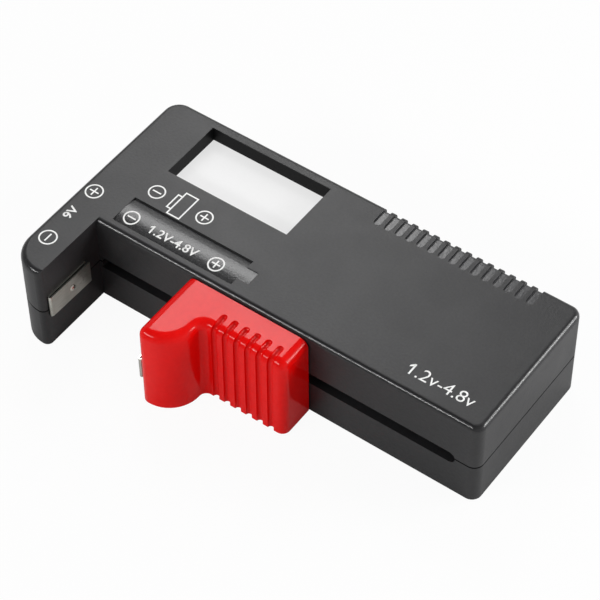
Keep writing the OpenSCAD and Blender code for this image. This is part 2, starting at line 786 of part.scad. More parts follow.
module chip_capacitors() {
    color([0.62, 0.5, 0.36]) in_case() for (i = [0:3])
        chip(lcd_left + 4, -9 - i * 2.6, 2, 1.25, 0.9);
}

function pad(i) = [pad_x, board_front + 1.6 + i * pad_pitch, board_base - pad_height];
rail_pad = [rail_left + rail_tab_width / 2, board_front + 1.6, board_base - pad_height];

module solder_joints() {
    color([0.7, 0.7, 0.7]) in_case() {
        for (p = concat([for (i = [0:2]) pad(i)], [rail_pad])) translate(p)
            cylinder(r1 = lead_radius, r2 = pad_radius, h = pad_height);
        for (side = [-1, 1]) translate([wall + snap_thickness, snap_y + side * snap_pitch / 2, snap_z])
            rotate([0, 90, 0]) cylinder(r1 = pad_radius, r2 = lead_radius, h = pad_height);
    }
}

module board_screws() {
    color([0.6, 0.6, 0.6]) in_case() for (p = board_screw_places) translate([p[0], p[1], board_base])
        screw(small_screw - 2 * fit, board_screw_length, small_screw_head, small_head_height);
}

// Strip that the wiper runs along, with a tab that drops below the rib for its lead
module contact_rail() {
    color([0.78, 0.76, 0.7]) in_case() difference() {
        union() {
            box(rail_left, rail_right, rail_front, rib_front, rail_base, rail_base + rail_height);
            box(rail_left, rail_left + rail_tab_width, rail_front, rib_front, rib_base - rail_tab_drop,
                rail_base + past);
        }
        for (x = [rail_left + rivet_inset, rail_right - rivet_inset])
            translate([x, rail_front - past, rail_base + rail_height / 2]) rotate([-90, 0, 0])
                cylinder(r = rivet_radius, h = rail_thickness + 2 * past);
    }
}

module rail_rivets() {
    color([0.7, 0.6, 0.35]) in_case() for (x = [rail_left + rivet_inset, rail_right - rivet_inset])
        translate([x, rail_front - rivet_head_height, rail_base + rail_height / 2]) rotate([-90, 0, 0]) {
            cylinder(r = rivet_head, h = rivet_head_height);
            cylinder(r = rivet_radius - fit, h = rail_thickness + rib_thickness + 2 * rivet_head_height);
            translate([0, 0, rail_thickness + rib_thickness + rivet_head_height])
                cylinder(r = rivet_head, h = rivet_head_height);
        }
}

// Part of a contact that lies flat against a face at x, facing the way of side, its centre at z
module face_strip(x, side, z) {
    x0 = side > 0 ? x : x - strip_thickness;
    box(x0, x0 + strip_thickness, hairpin_y + fit, leg_y + strip_thickness,
        z - strip_height / 2, z + strip_height / 2);
}

// Hairpin and leaf of a contact on a face at x, which opens the way of side, its centre at z
module leaf(x, side, z) {
    inner = hairpin_radius - strip_thickness;
    low = -strip_height / 2;
    high = strip_height / 2;
    translate([x + side * hairpin_radius, hairpin_y, z]) mirror([side < 0 ? 1 : 0, 0, 0])
        rotate([0, 0, -leaf_angle]) {
            difference() {
                translate([0, 0, low]) cylinder(r = hairpin_radius, h = strip_height);
                translate([0, 0, low - past]) cylinder(r = inner, h = strip_height + 2 * past);
                box(-past, past, 0, past, low - past, high + past);
            }
            box(inner, hairpin_radius, 0, leaf_length, low, high);
            intersection() {
                translate([hairpin_radius + dimple_height - dimple_radius, dimple_place, 0])
                    sphere(r = dimple_radius);
                box(hairpin_radius, hairpin_radius + past, dimple_place - 2, dimple_place + 2, low, high);
            }
        }
}

module arm_contact_base() {
    tail_x = arm_width - wall - tail_stand;
    color([0.72, 0.71, 0.66]) in_case() union() {
        face_strip(arm_width, 1, arm_strip_z);
        arm_leg(0);
        box(tail_x - strip_thickness, tail_x, leg_y, leg_y + tail_length, arm_strip_z - tail_height / 2,
            arm_strip_z + tail_height / 2);
    }
}

module arm_contact_leaf() {
    color([0.75, 0.74, 0.69]) in_case() leaf(arm_width, 1, arm_strip_z);
}

module side_contact(side) {
    color([0.74, 0.73, 0.68]) in_case() translate([wall, snap_y + side * snap_pitch / 2 - snap_plate / 2,
        snap_z - snap_plate / 2]) cube([snap_thickness, snap_plate, snap_plate]);
}

module side_contact_negative() {
    side_contact(-1);
}

module side_contact_positive() {
    side_contact(1);
}

// Insulated lead; its first and last stretches are straight
module lead(points, shade) {
    last = len(points) - 1;
    path = concat([points[0]], smooth([for (i = [1:last - 1]) points[i]], 4), [points[last]]);
    color(shade) in_case() tube(path, [for (p = path) lead_radius], 10, [1, 0.01, 0.02]);
}

function below(p, drop) = [p[0], p[1], p[2] - drop];
function up_to(p, drop) = [below(p, drop), below(p, 2 * lead_radius), p];
plate_solder_x = wall + snap_thickness + pad_height;
corner_boss_y = screw_places[3][1] - boss_radius;
lane_y = inner_front_y + 2 * lead_diameter;

module arm_lead() {
    start = [arm_width - wall - tail_stand - strip_thickness / 2, leg_y + tail_length, arm_strip_z];
    lead(concat([start, start + [0, root, 0], start + [0, 2, -1], start + [4.1, 5.7, -2.9]],
        up_to(pad(0), 4)), [0.1, 0.1, 0.1]);
}

module negative_lead() {
    start = [plate_solder_x, snap_y - snap_pitch / 2, snap_z];
    lead(concat([start, start + [root, 0, 0], start + [1.3, 0.6, -1],
        [start[0] + 1.6, (start[1] + lane_y) / 2, snap_z - 5.4], [start[0] + 2, lane_y, wall + 2.6],
        [board_left - 0.6, rib_front - 1.6, wall + 2]], up_to(pad(2), 5)), [0.1, 0.12, 0.4]);
}

module positive_lead() {
    start = [plate_solder_x, snap_y + snap_pitch / 2, snap_z];
    lead(concat([start, start + [root, 0, 0],
        [start[0] + 1.6, min(start[1], corner_boss_y - 1.6), snap_z + 1.4],
        [arm_width - 2.3, max(min(start[1] + 2.6, corner_boss_y - 2), lane_y - 0.8), snap_z + 1.8],
        [board_left + 0.3, corner_boss_y + 1.7, snap_z - 5]], up_to(pad(1), 4)), [0.6, 0.05, 0.05]);
}

module rail_lead() {
    start = [rail_left + rail_tab_width / 2, rib_front, rib_base - lead_radius - 0.3];
    lead(concat([start, start + [0, root, 0], start + [0, 1.3, -0.1]], up_to(rail_pad, 3)),
        [0.6, 0.05, 0.05]);
}

// Cutter for one flute: up the grip's front, round its top edge and back over the top to a round end
module flute(x) {
    turn = slider_edge;
    end_y = grip_front + flute_run - flute_radius;
    climb = concat(
        [[x, grip_front + lean_at(slider_lift - past), slider_lift - past]],
        [for (i = [0:edge_steps])
            let (a = 90 * i / edge_steps, z = slider_top - turn + turn * sin(a))
            [x, grip_front + lean_at(z) + turn * (1 - cos(a)), z]]);
    end_angles = [0, 25, 50, 70, 83];
    path = concat(climb, [for (a = end_angles) [x, end_y + flute_radius * sin(a), slider_top]]);
    radii = concat([for (p = climb) flute_radius], [for (a = end_angles) flute_radius * cos(a)]);
    tube(path, radii, 16, [1, 0, 0]);
}

// Tongue with round ends, from y0 to y1
module tongue(y0, y1) {
    r = (tongue_top - tongue_base) / 2;
    translate([0, y1, tongue_base + r]) rotate([90, 0, 0]) linear_extrude(y1 - y0) polygon(concat(
        arc([tongue_right - r, 0], r, -90, 90, 8), arc([tongue_left + r, 0], r, 90, 270, 8)));
}

// Strip that joins the jaw's contact to the wiper, along the tongue
module slider_strip(gap) {
    tab_base = tongue_top - strip_thickness;
    strip_top = jaw_strip_z + strip_height / 2;
    leg_box(jaw_left, jaw_left + jaw_wall / 2, strip_top - strip_height, strip_top, gap);
    leg_box(jaw_left, tab_right, tab_base, max(strip_top, tongue_top), gap);
    box(tab_left - gap, tab_right + gap, leg_y, carriage_back + strip_thickness + gap,
        tab_base - gap, tongue_top);
}

// Space inside the jaw, open at its back
module jaw_hollow() {
    left = jaw_left + jaw_wall;
    front = jaw_front + slider_draft + jaw_wall;
    translate([0, 0, slider_lift + jaw_wall])
        linear_extrude(slider_top - slider_lift - 2 * jaw_wall) polygon(concat(
            [[left, slider_back + past], [left, front]],
            arc([jaw_right - sweep_radius, front - jaw_wall + sweep_radius], sweep_radius - jaw_wall,
                270, 360, arc_steps),
            [[jaw_right - jaw_wall, slider_back + past]]));
}

module slider_jaw() {
    rings = rounded_rings(slider_lift, base_chamfer, slider_top, slider_edge);
    color([0.78, 0.05, 0.05]) in_case() difference() {
        union() {
            difference() {
                loft([for (r = rings) slider_outline(r[1], lean_at(r[0]))], [for (r = rings) r[0]],
                    slider_caps);
                jaw_hollow();
                box(jaw_right + jaw_wall, slider_right - jaw_wall, grip_front + jaw_wall + 1,
                    slider_back + past, slider_lift + jaw_wall, slider_top - jaw_wall);
            }
            tongue(grip_front + jaw_wall, carriage_back);
        }
        for (i = [0:flute_count - 1]) flute(flute_x + i * flute_pitch);
        slider_strip(fit);
        for (x = carriage_screw_x) translate([x, carriage_screw_y, tongue_base - past]) {
            cylinder(r = small_screw / 2 + 0.1, h = slot_height + 2 * past);
            cylinder(r = small_screw_head / 2 + 0.1, h = past + small_head_height);
        }
    }
}

module slider_carriage() {
    color([0.85, 0.84, 0.8]) in_case() difference() {
        box(carriage_left, carriage_right, carriage_front, carriage_back, tongue_top, carriage_top);
        for (x = carriage_screw_x) translate([x, carriage_screw_y, tongue_top - past])
            cylinder(r = small_screw / 2, h = board_screw_length + past);
        for (x = wiper_screw_x) translate([x, carriage_back + past, wiper_base + wiper_height / 2])
            rotate([90, 0, 0]) cylinder(r = small_screw / 2 - 0.25, h = wiper_screw_length + past);
    }
}

module carriage_screws() {
    color([0.6, 0.6, 0.6]) in_case() for (x = carriage_screw_x)
        translate([x, carriage_screw_y, tongue_base + small_head_height])
            screw(small_screw - 2 * fit, board_screw_length - 0.2, small_screw_head,
                small_head_height - fit);
}

module slider_contact_base() {
    color([0.72, 0.71, 0.66]) in_case() union() {
        face_strip(jaw_left, -1, jaw_strip_z);
        slider_strip(0);
        box(tab_left, tab_right, carriage_back, carriage_back + strip_thickness,
            tongue_top - strip_thickness, wiper_base + wiper_height);
    }
}

module slider_contact_leaf() {
    color([0.75, 0.74, 0.69]) in_case() leaf(jaw_left, -1, jaw_strip_z);
}

// Folded leaf whose crown presses on the rail
module slider_wiper() {
    base_y = carriage_back + wiper_thickness;
    crown_y = rail_front - wiper_gap;
    color([0.8, 0.6, 0.35]) in_case() difference() {
        translate([0, 0, wiper_base]) linear_extrude(wiper_height) difference() {
            polygon([[wiper_left, carriage_back], [wiper_right, carriage_back],
                [wiper_right, base_y], [wiper_right - 4, base_y], [wiper_tip_x, crown_y],
                [wiper_left + 4, base_y], [wiper_left, base_y]]);
            polygon([[wiper_right - 5.5, base_y], [wiper_tip_x, crown_y - 1.3 * wiper_thickness],
                [wiper_left + 5.5, base_y]]);
        }
        for (x = wiper_screw_x) translate([x, base_y + past, wiper_base + wiper_height / 2])
            rotate([90, 0, 0]) cylinder(r = small_screw / 2 - 0.2, h = wiper_thickness + 2 * past);
    }
}

module wiper_screws() {
    color([0.6, 0.6, 0.6]) in_case() for (x = wiper_screw_x)
        translate([x, carriage_back + wiper_thickness, wiper_base + wiper_height / 2]) rotate([90, 0, 0])
            screw(small_screw - 0.6, wiper_screw_length, small_screw_head - 0.8, 0.6);
}

top_shell();
bottom_shell();
case_screws();
lcd_polariser();
lcd_glass();
lcd_reflector();
lcd_frame();
zebra_strip();
circuit_board();
controller_blob();
boost_chip();
boost_inductor();
inductor_winding();
storage_capacitor();
load_resistor();
rectifier_diode();
chip_resistors();
chip_capacitors();
solder_joints();
board_screws();
contact_rail();
rail_rivets();
arm_contact_base();
arm_contact_leaf();
side_contact_negative();
side_contact_positive();
arm_lead();
negative_lead();
positive_lead();
rail_lead();
slider_jaw();
slider_carriage();
carriage_screws();
slider_contact_base();
slider_contact_leaf();
slider_wiper();
wiper_screws();
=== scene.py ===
import math

import bmesh
import bpy
from mathutils import Matrix, Vector


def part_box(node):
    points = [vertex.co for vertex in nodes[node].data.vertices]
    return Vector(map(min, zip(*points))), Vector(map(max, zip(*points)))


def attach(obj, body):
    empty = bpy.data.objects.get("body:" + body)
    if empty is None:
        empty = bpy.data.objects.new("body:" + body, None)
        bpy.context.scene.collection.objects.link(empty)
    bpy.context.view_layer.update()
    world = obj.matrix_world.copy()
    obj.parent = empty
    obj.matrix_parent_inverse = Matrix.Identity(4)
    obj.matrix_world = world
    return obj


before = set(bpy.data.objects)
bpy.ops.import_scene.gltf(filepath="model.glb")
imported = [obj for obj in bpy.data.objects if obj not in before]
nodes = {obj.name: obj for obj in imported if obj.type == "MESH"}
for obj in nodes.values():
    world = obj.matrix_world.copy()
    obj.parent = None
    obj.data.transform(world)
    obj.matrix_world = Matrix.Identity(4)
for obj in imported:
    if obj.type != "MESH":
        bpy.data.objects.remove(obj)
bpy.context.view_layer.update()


# ---------------------------------------------------------------------------
# Camera: a long lens, looking down on the tester from its front right side.
# ---------------------------------------------------------------------------
turn, rise, tilt = math.radians(36.60), math.radians(49.483), math.radians(-0.782)
look_at = Vector((-0.002032, 0.005494, 0.012))
distance = 0.51735
back = Vector((math.sin(turn) * math.cos(rise), -math.cos(turn) * math.cos(rise), math.sin(rise)))
right = Vector((math.cos(turn), math.sin(turn), 0.0))
up = back.cross(right)
across = right * math.cos(tilt) + up * math.sin(tilt)
upright = up * math.cos(tilt) - right * math.sin(tilt)
lens = bpy.data.cameras.new("camera")
lens.lens = 141.24
lens.sensor_width = 36.0
lens.clip_start = 0.01
camera = bpy.data.objects.new("camera", lens)
bpy.context.scene.collection.objects.link(camera)
camera.matrix_world = Matrix.Translation(look_at + back * distance) @ Matrix(
    (across, upright, back)
).transposed().to_4x4()
bpy.context.scene.camera = camera


# ---------------------------------------------------------------------------
# Case: two half shells moulded in black ABS from a spark-eroded tool, so the
# outside has a fine even grain. The cell relief and the floors of the finger
# grooves were polished in the tool. The halves are screwed together from below.
# ---------------------------------------------------------------------------
mm = 0.001
case_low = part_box("bottom_shell")[0]
case_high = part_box("top_shell")[1]
edge_radius = 1.4 * mm
relief_start, relief_step, relief_end = 12.1 * mm, 44.7 * mm, 47.7 * mm
relief_middle = 34.0 * mm
relief_half, cap_half = 4.0 * mm, 1.9 * mm
relief_under, relief_over = 0.7 * mm, 0.02 * mm
window_left, window_right = 13.0 * mm, 45.9 * mm
window_back, window_front, window_floor = 2.8 * mm, 19.5 * mm, 4.2 * mm
margin = 0.15 * mm
parting_height, seam_width = 11.2 * mm, 0.34 * mm
grip_start, grip_end, grip_depth = 58.0 * mm, 101.5 * mm, 0.5 * mm
groove_run, groove_drop, groove_past = 8 * mm, 12 * mm, 1 * mm
# Colours painted into the case: a grey lighter than the plastic as sheen on the finger grooves' floors, and
# black as shade in the seam and the display's well.
painted_sheen_grey, painted_shade_black = (0.055, 0.055, 0.058, 1.0), (0.003, 0.003, 0.003, 1.0)
polished_roughness, relief_polish, well_shade = 0.22, 0.75, 0.7
# Specular levels: the plastic's own, the lower one where shade is painted into the seam and the well, and
# the extra on the polished relief.
case_shine, painted_shade_shine, relief_shine = 0.42, 0.05, 0.14


def from_corner(x, y, z=0.0):
    """A point given from the case's back left corner and top face, towards the right, front and base."""
    return Vector((case_low[0] + x, case_high[1] - y, case_high[2] - z))


def new_finish(name):
    """An empty material with its shader."""
    made = bpy.data.materials.new(name)
    made.use_nodes = True
    made.node_tree.nodes.clear()
    tree = made.node_tree
    shader = tree.nodes.new("ShaderNodeBsdfPrincipled")
    out = tree.nodes.new("ShaderNodeOutputMaterial")
    tree.links.new(shader.outputs["BSDF"], out.inputs["Surface"])
    return made, tree, shader


def add(tree, kind, inputs=None, **settings):
    """One node; inputs are values or other nodes' outputs."""
    node = tree.nodes.new(kind)
    for key, value in settings.items():
        setattr(node, key, value)
    for key, value in (inputs or {}).items():
        socket = node.inputs[key]
        if isinstance(value, bpy.types.NodeSocket):
            tree.links.new(value, socket)
        else:
            socket.default_value = value
    return node


def calc(tree, operation, *values):
    """A number worked out by a Math node."""
    return add(tree, "ShaderNodeMath", dict(enumerate(values)), operation=operation).outputs[0]


def vector_calc(tree, operation, *values):
    """A vector, or for a length or a dot product a number, worked out by a Vector Math node."""
    node = add(tree, "ShaderNodeVectorMath", dict(enumerate(values)), operation=operation)
    return node.outputs["Value" if operation in ("LENGTH", "DOT_PRODUCT") else "Vector"]


def ramp(tree, factor, *stops):
    """A colour ramp with (place, colour) stops."""
    node = add(tree, "ShaderNodeValToRGB", {"Fac": factor})
    bar = node.color_ramp
    while len(bar.elements) < len(stops):
        bar.elements.new(0.5)
    for element, (place, colour) in zip(bar.elements, stops):
        element.position = place
        element.color = (*colour, 1.0)
    return node.outputs["Color"]


def spread(tree, factor, low, high, start=0.0, end=1.0):
    """A value from low to high as factor goes from start to end."""
    node = add(
        tree, "ShaderNodeMapRange",
        {"Value": factor, "From Min": start, "From Max": end, "To Min": low, "To Max": high},
    )
    return node.outputs["Result"]


def cloud(tree, place, size, detail=2.0, distortion=0.0):
    """Soft noise whose blotches are about the given size across."""
    node = add(
        tree, "ShaderNodeTexNoise",
        {"Vector": place, "Scale": 0.5 / size, "Detail": detail, "Distortion": distortion},
    )
    return node.outputs["Fac"]


def bump(tree, height, distance, under=None):
    """A normal bent by a height, over another bump if one is given."""
    node = add(tree, "ShaderNodeBump", {"Height": height, "Distance": distance, "Strength": 1.0})
    if under:
        tree.links.new(under, node.inputs["Normal"])
    return node.outputs["Normal"]


def moulded_plastic(name, dark, light, dull, glossy, grain, grain_depth, wave_depth=0.0):
    """Injection moulded plastic: spark grain of the given size and depth, faint flow
    shading between two colours, and handling marks that change its gloss."""
    made, tree, shader = new_finish(name)
    place = add(tree, "ShaderNodeTexCoord").outputs["Object"]
    flow = cloud(tree, place, 9 * mm, 3.0)
    speck = cloud(tree, place, grain, 2.0)
    blend = add(tree, "ShaderNodeMix", {"Factor": 0.5, "A": flow, "B": speck}).outputs["Result"]
    tree.links.new(ramp(tree, blend, (0.36, dark), (0.64, light)), shader.inputs["Base Color"])
    rubbed = cloud(tree, place, 4 * mm, 4.0, 0.6)
    tree.links.new(spread(tree, rubbed, glossy, dull, 0.3, 0.7), shader.inputs["Roughness"])
    under = None
    if wave_depth:
        under = bump(tree, cloud(tree, place, 6 * mm, 1.0), wave_depth)
    tree.links.new(bump(tree, cloud(tree, place, grain, 3.0), grain_depth, under), shader.inputs["Normal"])
    return made, tree, shader


def inside(tree, place, low, high):
    """1 within the box from low to high, 0 outside it."""
    middle = (Vector(low) + Vector(high)) / 2
    half = (Vector(high) - Vector(low)) / 2
    away = vector_calc(tree, "ABSOLUTE", vector_calc(tree, "SUBTRACT", place, middle))
    over = add(tree, "ShaderNodeSeparateXYZ", {"Vector": vector_calc(tree, "SUBTRACT", away, half)})
    worst = calc(tree, "MAXIMUM", calc(tree, "MAXIMUM", over.outputs[0], over.outputs[1]), over.outputs[2])
    return calc(tree, "LESS_THAN", worst, 0.0)


def relief_mask(tree, place):
    """1 on the relief's floor."""
    body = inside(
        tree, place,
        from_corner(relief_start, relief_middle + relief_half, relief_under),
        from_corner(relief_step, relief_middle - relief_half, relief_over),
    )
    cap = inside(
        tree, place,
        from_corner(relief_step, relief_middle + cap_half, relief_under),
        from_corner(relief_end, relief_middle - cap_half, relief_over),
    )
    return calc(tree, "MAXIMUM", body, cap)


def groove_mask(tree, place):
    """1 on the floors of the finger grooves: as deep under the rounded back edge as they are cut."""
    centre = from_corner(0, edge_radius, edge_radius)
    outward = vector_calc(tree, "MULTIPLY", vector_calc(tree, "SUBTRACT", place, centre), (0, 1, 1))
    reach = vector_calc(tree, "MAXIMUM", outward, (0, 0, 0))
    depth = calc(tree, "SUBTRACT", edge_radius, vector_calc(tree, "LENGTH", reach))
    near = inside(
        tree, place, from_corner(grip_start, groove_run, groove_drop),
        from_corner(grip_end, -groove_past, -groove_past),
    )
    return calc(tree, "MULTIPLY", spread(tree, depth, 0.0, 1.0, grip_depth * 0.8, grip_depth * 0.95), near)


def case_finish(name, dark, light):
    """The case's grained black: smoother where the tool was polished and where hands rub the
    rounded edges. Painted shade darkens the seam and the display's well towards black and cuts
    their reflection; a painted sheen lightens the finger grooves' floors."""
    made, tree, shader = moulded_plastic(name, dark, light, 0.42, 0.39, 0.30 * mm, 0.028 * mm, 0.003 * mm)
    place = add(tree, "ShaderNodeTexCoord").outputs["Object"]
    relief = relief_mask(tree, place)
    groove = groove_mask(tree, place)
    facing = add(tree, "ShaderNodeNewGeometry").outputs["Normal"]
    upward = calc(tree, "ABSOLUTE", add(tree, "ShaderNodeSeparateXYZ", {"Vector": facing}).outputs["Z"])
    off_wall = spread(tree, upward, 0.0, 1.0, 0.2, 0.4)
    off_top = spread(tree, upward, 1.0, 0.0, 0.92, 0.985)
    rounded = calc(tree, "MULTIPLY", off_wall, off_top)
    sunk = calc(tree, "MAXIMUM", calc(tree, "MULTIPLY", relief, relief_polish), groove)
    polished = calc(tree, "MAXIMUM", sunk, rounded)
    base = shader.inputs["Base Color"].links[0].from_socket
    # Painted sheen: the finger grooves' floors are lightened to a grey.
    painted_sheen_colour = add(tree, "ShaderNodeMix", {0: groove, 6: base, 7: painted_sheen_grey}, data_type="RGBA")
    rough = shader.inputs["Roughness"].links[0].from_socket
    smooth = add(tree, "ShaderNodeMix", {"Factor": polished, "A": rough, "B": polished_roughness})
    tree.links.new(smooth.outputs["Result"], shader.inputs["Roughness"])
    # Painted shade along the seam: a band at the parting height that is darkened below.
    up_side = add(tree, "ShaderNodeSeparateXYZ", {"Vector": place}).outputs["Z"]
    off_seam = calc(tree, "ABSOLUTE", calc(tree, "SUBTRACT", up_side, parting_height))
    seam_shade_band = spread(tree, off_seam, 1.0, 0.0, 0.5 * seam_width, 0.7 * seam_width)
    well = inside(
        tree, place, from_corner(window_left - margin, window_front + margin, window_floor),
        from_corner(window_right + margin, window_back - margin, margin),
    )
    # Places with painted shade: the display's well and the seam band. Their specular level is cut.
    painted_shade_places = calc(tree, "MAXIMUM", well, seam_shade_band)
    extra = calc(tree, "MULTIPLY", relief, relief_shine)
    shine = calc(tree, "ADD", spread(tree, painted_shade_places, case_shine, painted_shade_shine), extra)
    tree.links.new(shine, shader.inputs["Specular IOR Level"])
    # Painted shade: the seam goes black, and the well's walls go most of the way to black.
    shade = calc(tree, "MAXIMUM", seam_shade_band, calc(tree, "MULTIPLY", well, well_shade))
    painted_shade_colour = add(
        tree, "ShaderNodeMix", {0: shade, 6: painted_sheen_colour.outputs[2], 7: painted_shade_black}, data_type="RGBA"
    )
    tree.links.new(painted_shade_colour.outputs[2], shader.inputs["Base Color"])
    return made


def shading_group(angle):
    """Geometry nodes that keep edges over the angle sharp and shade the rest smooth."""
    group = bpy.data.node_groups.new("shade_by_angle", "GeometryNodeTree")
    group.interface.new_socket("Geometry", in_out="INPUT", socket_type="NodeSocketGeometry")
    group.interface.new_socket("Geometry", in_out="OUTPUT", socket_type="NodeSocketGeometry")
    start = group.nodes.new("NodeGroupInput")
    end = group.nodes.new("NodeGroupOutput")
    faces = group.nodes.new("GeometryNodeSetShadeSmooth")
    edges = group.nodes.new("GeometryNodeSetShadeSmooth")
    edges.domain = "EDGE"
    edges.inputs["Shade Smooth"].default_value = False
    bend = group.nodes.new("GeometryNodeInputMeshEdgeAngle")
    over = group.nodes.new("FunctionNodeCompare")
    over.operation = "GREATER_THAN"
    over.inputs[1].default_value = math.radians(angle)
    group.links.new(start.outputs[0], faces.inputs["Geometry"])
    group.links.new(faces.outputs[0], edges.inputs["Geometry"])
    group.links.new(bend.outputs["Unsigned Angle"], over.inputs[0])
    group.links.new(over.outputs[0], edges.inputs["Selection"])
    group.links.new(edges.outputs[0], end.inputs[0])
    return group


weld_distance = 2e-6
flat_angle, hard_angle = 0.6, 40


def plain_mesh_group():
    """Geometry nodes that drop the stored normals and join the faces' corners."""
    group = bpy.data.node_groups.new("plain_mesh", "GeometryNodeTree")
    group.interface.new_socket("Geometry", in_out="INPUT", socket_type="NodeSocketGeometry")
    group.interface.new_socket("Geometry", in_out="OUTPUT", socket_type="NodeSocketGeometry")
    start = group.nodes.new("NodeGroupInput")
    end = group.nodes.new("NodeGroupOutput")
    drop = group.nodes.new("GeometryNodeRemoveAttribute")
    drop.inputs["Name"].default_value = "custom_normal"
    join = group.nodes.new("GeometryNodeMergeByDistance")
    join.inputs["Distance"].default_value = weld_distance
    group.links.new(start.outputs[0], drop.inputs["Geometry"])
    group.links.new(drop.outputs[0], join.inputs["Geometry"])
    group.links.new(join.outputs[0], end.inputs[0])
    return group


plain_mesh = plain_mesh_group()
shade_by_angle = {angle: shading_group(angle) for angle in (32, 45)}


def finish_node(name, material, edge=0.0, angle=32, rings=2):
    """Gives a solid its material, rounds its hard edges as a mould's or a press tool's are,
    and shades it smooth between them."""
    solid = nodes[name]
    solid.data.materials.clear()
    solid.data.materials.append(material)
    clean = solid.modifiers.new("plain_mesh", "NODES")
    clean.node_group = plain_mesh
    flat = solid.modifiers.new("flat_faces", "DECIMATE")
    flat.decimate_type = "DISSOLVE"
    flat.angle_limit = math.radians(flat_angle)
    if edge:
        round_over = solid.modifiers.new("round_over", "BEVEL")
        round_over.width = edge
        round_over.segments = rings
        round_over.limit_method = "ANGLE"
        round_over.angle_limit = math.radians(hard_angle)
        round_over.use_clamp_overlap = True
        round_over.miter_outer = "MITER_ARC"
    shade = solid.modifiers.new("shade", "NODES")
    shade.node_group = shade_by_angle[angle]
    even = solid.modifiers.new("even_normals", "WEIGHTED_NORMAL")
    even.keep_sharp = True
    return solid


case_top_black = case_finish("case_top_black", (0.012, 0.012, 0.013), (0.019, 0.019, 0.020))
case_base_black = case_finish("case_base_black", (0.011, 0.011, 0.012), (0.017, 0.017, 0.018))
finish_node("top_shell", case_top_black, 0.10 * mm)
finish_node("bottom_shell", case_base_black, 0.08 * mm)


# ---------------------------------------------------------------------------
# Printed marks: polarity signs, a cell sign and plain voltage numerals, screen
# printed in white ink on the top face and on the relief's curved floor.
# ---------------------------------------------------------------------------
line_width = 0.36 * mm
ink_above, ink_below = 0.012 * mm, 0.02 * mm
crest_drop, relief_depth = 0.04 * mm, 0.5 * mm
relief_curve = (relief_half**2 + relief_depth**2) / (2 * relief_depth)
drape_step = 0.4 * mm
flag_corners = ((0.02, 0.0), (0.02, 0.24), (-0.24, 0.40), (-0.24, 0.26))


def ink_finish(name):
    """Matt white ink, a little thin where the grain under it stands up."""
    made, tree, shader = new_finish(name)
    place = add(tree, "ShaderNodeTexCoord").outputs["Object"]
    thin = cloud(tree, place, 0.3 * mm, 3.0)
    colour = ramp(tree, thin, (0.25, (0.74, 0.74, 0.73)), (0.42, (0.88, 0.88, 0.87)))
    tree.links.new(colour, shader.inputs["Base Color"])
    tree.links.new(spread(tree, thin, 0.7, 0.5), shader.inputs["Roughness"])
    tree.links.new(bump(tree, thin, 0.004 * mm), shader.inputs["Normal"])
    shader.inputs["Specular IOR Level"].default_value = 0.3
    return made


white_ink = ink_finish("white_ink")


def face_height(x, y):
    """Height of the case's upper face at a point given from its back left corner."""
    off = abs(y - relief_middle)
    reach = relief_half if x < relief_step else cap_half
    if relief_start < x < relief_end and off < reach:
        return case_high[2] - crest_drop - relief_curve + math.sqrt(relief_curve**2 - off**2)
    return case_high[2]


def ring_line(shape, x, y, radius):
    """A circle's line round a point."""
    sides = 48
    turns = [math.tau * i / sides for i in range(sides)]
    rims = [
        [shape.verts.new((x + r * math.cos(a), y + r * math.sin(a), 0)) for a in turns]
        for r in (radius - line_width, radius)
    ]
    for i in range(sides):
        j = (i + 1) % sides
        shape.faces.new((rims[0][i], rims[1][i], rims[1][j], rims[0][j]))


def bar(shape, x0, x1, y0, y1):
    """A filled rectangle."""
    shape.faces.new([shape.verts.new((x, y, 0)) for x, y in ((x0, y0), (x1, y0), (x1, y1), (x0, y1))])


def polarity_sign(shape, x, y, positive, radius=2.05 * mm, upright=False):
    """A minus or plus in a circle; upright turns the minus bar to run front to back."""
    long, thin = radius * 0.56, line_width / 2
    ring_line(shape, x, y, radius)
    if upright and not positive:
        bar(shape, x - thin, x + thin, y - long, y + long)
        return
    bar(shape, x - long, x + long, y - thin, y + thin)
    if positive:
        bar(shape, x - thin, x + thin, y - long, y - thin)
        bar(shape, x - thin, x + thin, y + thin, y + long)


def cell_sign(shape, x0, x1, y0, y1, tip, tip_share):
    """Outline of a cell: its can, and its small end at the left."""
    w = line_width
    middle, half = (y0 + y1) / 2, (y1 - y0) / 2 * tip_share
    bar(shape, x0, x1, y0, y0 + w)
    bar(shape, x0, x1, y1 - w, y1)
    bar(shape, x0, x0 + w, y0 + w, y1 - w)
    bar(shape, x1 - w, x1, y0 + w, y1 - w)
    bar(shape, x0 - tip, x0, middle - half, middle - half + w)
    bar(shape, x0 - tip, x0, middle + half - w, middle + half)
    bar(shape, x0 - tip, x0 - tip + w, middle - half + w, middle + half - w)


def numerals(shape, words, x0, x1, y0, y1, turned=False, weight=0.014):
    """Plain numerals that fill a box; turned ones are read from the case's front to its back.
    A leading 1 gets a flag at its head."""
    text = bpy.data.curves.new("numerals", "FONT")
    text.body = words
    text.offset = weight
    holder = bpy.data.objects.new("numerals", text)
    mesh = bpy.data.meshes.new_from_object(holder)
    made = bmesh.new()
    made.from_mesh(mesh)
    bmesh.ops.remove_doubles(made, verts=made.verts, dist=1e-5)
    xs = [v.co.x for v in made.verts]
    ys = [v.co.y for v in made.verts]
    for v in made.verts:
        along = (v.co.x - min(xs)) / (max(xs) - min(xs))
        rise_share = (v.co.y - min(ys)) / (max(ys) - min(ys))
        if turned:
            v.co = (x1 - (x1 - x0) * rise_share, y1 - (y1 - y0) * along, 0)
        else:
            v.co = (x0 + (x1 - x0) * along, y1 - (y1 - y0) * rise_share, 0)
    made.to_mesh(mesh)
    made.free()
    shape.from_mesh(mesh)
    bpy.data.objects.remove(holder)
    bpy.data.curves.remove(text)
    bpy.data.meshes.remove(mesh)
    if words[0] == "1":
        tall = y1 - y0
        shape.faces.new([shape.verts.new((x0 + tall * a, y0 + tall * b, 0)) for a, b in flag_corners])


